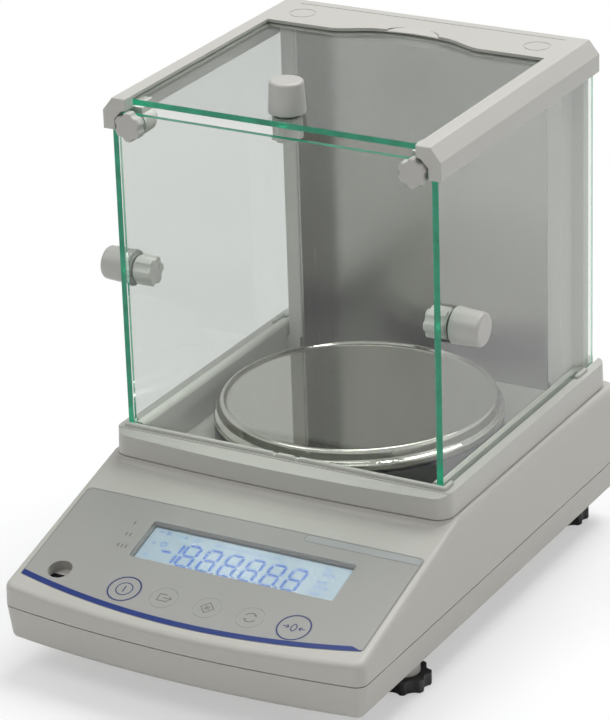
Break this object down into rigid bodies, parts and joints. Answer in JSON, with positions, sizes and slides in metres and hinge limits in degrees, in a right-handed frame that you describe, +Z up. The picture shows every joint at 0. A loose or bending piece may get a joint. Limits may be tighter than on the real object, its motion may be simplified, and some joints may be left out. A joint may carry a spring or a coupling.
{
  "type": "laboratory balance",
  "caption": "Top-loading precision balance with a glass draught shield, sliding doors, round stainless pan, sloping keypad with display and levelling feet.",
  "frame": {"origin": "on the table, midway across the whole width and the case's length", "axes": "+Z up, the keypad faces -Y, +X to the user's right"},
  "size_m": [0.21, 0.296, 0.2813],
  "materials": {
    "case_plastic": "fine-textured off-white moulding",
    "shield_plastic": "smooth light grey moulding",
    "shield_glass": "clear float glass with green polished edges",
    "stainless": "polished stainless sheet",
    "wall_steel": "satin stainless sheet",
    "black_plastic": "black moulding",
    "overlay_film": "satin printed film with a blue line",
    "knob_plastic": "smooth off-white moulding",
    "window_lens": "clear display lens",
    "lcd_glass": "pale blue display glass",
    "level_glass": "clear vial",
    "level_body": "dark moulding",
    "board": "green laminate with components",
    "zinc_steel": "zinc-plated steel",
    "brass": "turned brass",
    "cast_aluminium": "machined and cast aluminium",
    "rubber": "soft black rubber",
    "ribbon": "grey flat cable"
  },
  "bodies": {
    "housing": {"lower_case": "case_plastic", "upper_case": "case_plastic", "windshield_base": "shield_plastic", "right_post": "shield_plastic", "left_post": "shield_plastic", "rear_wall": "wall_steel", "top_frame": "shield_plastic", "front_glass": "shield_glass", "thumbscrew_inserts": "brass", "draught_ring": "black_plastic", "pan_support": "cast_aluminium", "pan_pads": "rubber", "spindle": "zinc_steel", "force_sensor": "cast_aluminium", "sensor_bracket": "cast_aluminium", "chassis_plate": "zinc_steel", "keypad_overlay": "overlay_film", "display_window": "window_lens", "lcd_panel": "lcd_glass", "backlight_panel": "window_lens", "display_board": "board", "key_switches": "black_plastic", "level_cup": "level_body", "level_vial": "level_glass", "main_board": "board", "ribbon_cable": "ribbon", "power_inlet": "black_plastic", "serial_port": "zinc_steel", "case_screws": "zinc_steel", "display_screws": "zinc_steel", "board_screws": "zinc_steel", "sensor_screws": "zinc_steel", "post_screws": "zinc_steel", "foot_nuts": "brass"},
    "pan": {"pan": "stainless"},
    "right_door": {"right_door_glass": "shield_glass", "right_door_grip": "knob_plastic", "right_door_washers": "knob_plastic"},
    "right_door_nut": {"right_door_nut": "knob_plastic"},
    "left_door": {"left_door_glass": "shield_glass", "left_door_grip": "knob_plastic", "left_door_washers": "knob_plastic"},
    "left_door_nut": {"left_door_nut": "knob_plastic"},
    "top_door": {"top_door_glass": "shield_glass", "top_door_grip": "knob_plastic", "top_door_washers": "knob_plastic"},
    "top_door_nut": {"top_door_nut": "knob_plastic"},
    "right_thumbscrew": {"right_thumbscrew": "knob_plastic"},
    "left_thumbscrew": {"left_thumbscrew": "knob_plastic"},
    "key_power": {"key_power": "overlay_film"},
    "key_print": {"key_print": "overlay_film"},
    "key_set": {"key_set": "overlay_film"},
    "key_function": {"key_function": "overlay_film"},
    "key_tare": {"key_tare": "overlay_film"},
    "front_left_foot": {"front_left_foot": "black_plastic"},
    "front_right_foot": {"front_right_foot": "black_plastic"},
    "rear_left_foot": {"rear_left_foot": "black_plastic"},
    "rear_right_foot": {"rear_right_foot": "black_plastic"}
  },
  "joints": [
    {"name": "right_door_slide", "type": "slide", "parent": "housing", "child": "right_door", "axis": [0, 1, 0], "range_m": [0, 0.126]},
    {"name": "right_door_nut_turn", "type": "hinge", "parent": "right_door", "child": "right_door_nut", "pos_m": [0.0888, -0.0215, 0.1716], "axis": [1, 0, 0], "continuous": true},
    {"name": "left_door_slide", "type": "slide", "parent": "housing", "child": "left_door", "axis": [0, 1, 0], "range_m": [0, 0.126]},
    {"name": "left_door_nut_turn", "type": "hinge", "parent": "left_door", "child": "left_door_nut", "pos_m": [-0.0888, -0.0215, 0.1716], "axis": [1, 0, 0], "continuous": true},
    {"name": "top_door_slide", "type": "slide", "parent": "housing", "child": "top_door", "axis": [0, 1, 0], "range_m": [0, 0.118]},
    {"name": "top_door_nut_turn", "type": "hinge", "parent": "top_door", "child": "top_door_nut", "pos_m": [0, -0.0195, 0.2644], "axis": [0, 0, 1], "continuous": true},
    {"name": "right_thumbscrew_turn", "type": "hinge", "parent": "housing", "child": "right_thumbscrew", "pos_m": [0.0775, -0.0358, 0.2524], "axis": [0, 1, 0], "continuous": true},
    {"name": "left_thumbscrew_turn", "type": "hinge", "parent": "housing", "child": "left_thumbscrew", "pos_m": [-0.0775, -0.0358, 0.2524], "axis": [0, 1, 0], "continuous": true},
    {"name": "pan_lift", "type": "slide", "parent": "housing", "child": "pan", "axis": [0, 0, 1], "range_m": [0, 0.03]},
    {"name": "key_power_press", "type": "slide", "parent": "housing", "child": "key_power", "axis": [0, 0.279, -0.9603], "range_m": [0, 0.0003], "stiffness_N_per_m": 1000, "springref_m": -0.0002},
    {"name": "key_print_press", "type": "slide", "parent": "housing", "child": "key_print", "axis": [0, 0.279, -0.9603], "range_m": [0, 0.0003], "stiffness_N_per_m": 1000, "springref_m": -0.0002},
    {"name": "key_set_press", "type": "slide", "parent": "housing", "child": "key_set", "axis": [0, 0.279, -0.9603], "range_m": [0, 0.0003], "stiffness_N_per_m": 1000, "springref_m": -0.0002},
    {"name": "key_function_press", "type": "slide", "parent": "housing", "child": "key_function", "axis": [0, 0.279, -0.9603], "range_m": [0, 0.0003], "stiffness_N_per_m": 1000, "springref_m": -0.0002},
    {"name": "key_tare_press", "type": "slide", "parent": "housing", "child": "key_tare", "axis": [0, 0.279, -0.9603], "range_m": [0, 0.0003], "stiffness_N_per_m": 1000, "springref_m": -0.0002},
    {"name": "front_left_foot_turn", "type": "hinge", "parent": "housing", "child": "front_left_foot", "pos_m": [-0.083, -0.069, 0], "axis": [0, 0, 1], "continuous": true},
    {"name": "front_right_foot_turn", "type": "hinge", "parent": "housing", "child": "front_right_foot", "pos_m": [0.083, -0.069, 0], "axis": [0, 0, 1], "continuous": true},
    {"name": "rear_left_foot_turn", "type": "hinge", "parent": "housing", "child": "rear_left_foot", "pos_m": [-0.074, 0.131, 0], "axis": [0, 0, 1], "continuous": true},
    {"name": "rear_right_foot_turn", "type": "hinge", "parent": "housing", "child": "rear_right_foot", "pos_m": [0.074, 0.131, 0], "axis": [0, 0, 1], "continuous": true}
  ]
}
